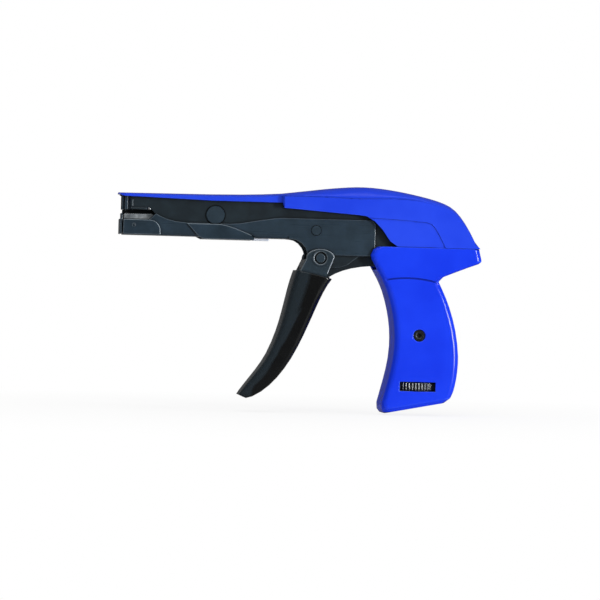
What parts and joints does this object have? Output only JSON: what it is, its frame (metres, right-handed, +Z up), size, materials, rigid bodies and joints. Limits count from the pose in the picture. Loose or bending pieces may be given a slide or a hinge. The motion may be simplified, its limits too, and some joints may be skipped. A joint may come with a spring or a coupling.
{
  "type": "cable tie tensioning tool",
  "caption": "Pistol-shaped hand tool that pulls the tail of a cable tie tight through its steel nose and cuts it off, with a swinging trigger and a tension thumbwheel in the grip.",
  "frame": {"origin": "where the tie's path crosses the plane of the nose plate's front face, in the middle of the tool's width", "axes": "+X along the barrel towards the grip, so the nose points along -X; +Z up towards the top cover; Y across the width, with the tool's left side at -Y"},
  "size_m": [0.182, 0.025, 0.1127],
  "materials": {
    "blue_paint": "semi-gloss enamel",
    "black_steel": "blackened, satin",
    "black_gloss": "glossy dipped coating",
    "screw_black": "black oxide",
    "dark_steel": "oiled steel",
    "steel": "bright steel"
  },
  "bodies": {
    "frame": {"top_cover": "blue_paint", "grip_shell_left": "blue_paint", "grip_shell_right": "blue_paint", "inner_frame_left": "black_steel", "inner_frame_right": "black_steel", "outer_frame": "black_steel", "nose_plate": "black_steel", "nose_bracket_left": "black_steel", "nose_bracket_right": "black_steel", "nose_rivets": "steel", "blade_guide_left": "black_steel", "blade_guide_right": "black_steel", "strap_guide": "black_steel", "guide_pin": "steel", "barrel_clip": "black_steel", "spring_anchor": "steel", "cutter_rivet": "black_steel", "frame_rivet": "black_steel", "rivet_spacer": "dark_steel", "pivot_pin": "black_steel", "rocker_pin": "dark_steel", "lever_pin": "dark_steel", "grip_spacer": "dark_steel", "grip_screw": "screw_black", "grip_nut": "steel"},
    "trigger": {"trigger_lever": "black_steel", "trigger_sleeve": "black_gloss", "arm_pin": "steel"},
    "push_arm": {"push_arm": "black_steel"},
    "rocker": {"rocker": "dark_steel", "link_pin": "steel", "draw_pin": "steel"},
    "pull_bar": {"pull_bar": "dark_steel", "pawl_pin": "steel", "return_spring": "steel"},
    "pawl": {"gripping_pawl": "steel", "pawl_spring": "steel"},
    "cut_lever": {"cut_off_lever": "dark_steel"},
    "blade": {"cutter_blade": "steel"},
    "tension_lever": {"tension_lever": "dark_steel", "trip_pin": "steel", "toe_pin": "steel"},
    "pusher": {"tension_pusher": "dark_steel"},
    "wheel": {"tension_wheel": "dark_steel", "adjuster_stud": "steel"},
    "tension_nut": {"tension_nut": "dark_steel", "tension_spring": "steel"}
  },
  "joints": [
    {"name": "trigger_pivot", "type": "hinge", "parent": "frame", "child": "trigger", "pos_m": [0.0998, 0, -0.0208], "axis": [0, -1, 0], "range_deg": [0, 36], "stiffness_Nm_per_rad": 0.4, "springref_deg": -17.19},
    {"name": "arm_hinge", "type": "hinge", "parent": "trigger", "child": "push_arm", "pos_m": [0.0985, 0, -0.0325], "axis": [0, 1, 0], "range_deg": [0, 38]},
    {"name": "rocker_hinge", "type": "hinge", "parent": "frame", "child": "rocker", "pos_m": [0.147, 0, -0.032], "axis": [0, 1, 0], "range_deg": [0, 36.5]},
    {"name": "pull_slide", "type": "slide", "parent": "frame", "child": "pull_bar", "axis": [1, 0, 0], "range_m": [0, 0.0212], "deforming": ["return_spring"]},
    {"name": "pawl_hinge", "type": "hinge", "parent": "pull_bar", "child": "pawl", "pos_m": [0.0125, 0, -0.0064], "axis": [0, 1, 0], "range_deg": [0, 6], "stiffness_Nm_per_rad": 0.02, "deforming": ["pawl_spring"]},
    {"name": "tension_lever_hinge", "type": "hinge", "parent": "frame", "child": "tension_lever", "pos_m": [0.144, 0, -0.043], "axis": [0, 1, 0], "range_deg": [0, 7], "stiffness_Nm_per_rad": 3, "springref_deg": -5.73},
    {"name": "cut_lever_hinge", "type": "hinge", "parent": "frame", "child": "cut_lever", "pos_m": [0.0471, 0, -0.0009], "axis": [0, -1, 0], "range_deg": [0, 4.7]},
    {"name": "blade_slide", "type": "slide", "parent": "frame", "child": "blade", "axis": [0, 0, -1], "range_m": [0, 0.0038]},
    {"name": "pusher_slide", "type": "slide", "parent": "frame", "child": "pusher", "axis": [0, 0, -1], "range_m": [0, 0.001], "deforming": ["tension_spring"]},
    {"name": "wheel_spin", "type": "hinge", "parent": "frame", "child": "wheel", "pos_m": [0.15, 0, -0.0836], "axis": [0, 0, 1], "range_deg": [0, 720]},
    {"name": "nut_slide", "type": "slide", "parent": "frame", "child": "tension_nut", "axis": [0, 0, 1], "range_m": [0, 0.003]}
  ],
  "couplings": [
    {"joint": "arm_hinge", "follows": "trigger_pivot", "ratio": 1.0528},
    {"joint": "rocker_hinge", "follows": "trigger_pivot", "ratio": 1.0111},
    {"joint": "pull_slide", "follows": "trigger_pivot", "m_per_rad": 0.033604},
    {"joint": "cut_lever_hinge", "follows": "tension_lever_hinge", "ratio": 0.66186},
    {"joint": "blade_slide", "follows": "tension_lever_hinge", "m_per_rad": 0.030285},
    {"joint": "pusher_slide", "follows": "tension_lever_hinge", "m_per_rad": 0.007367},
    {"joint": "nut_slide", "follows": "wheel_spin", "m_per_rad": 0.00023873}
  ]
}
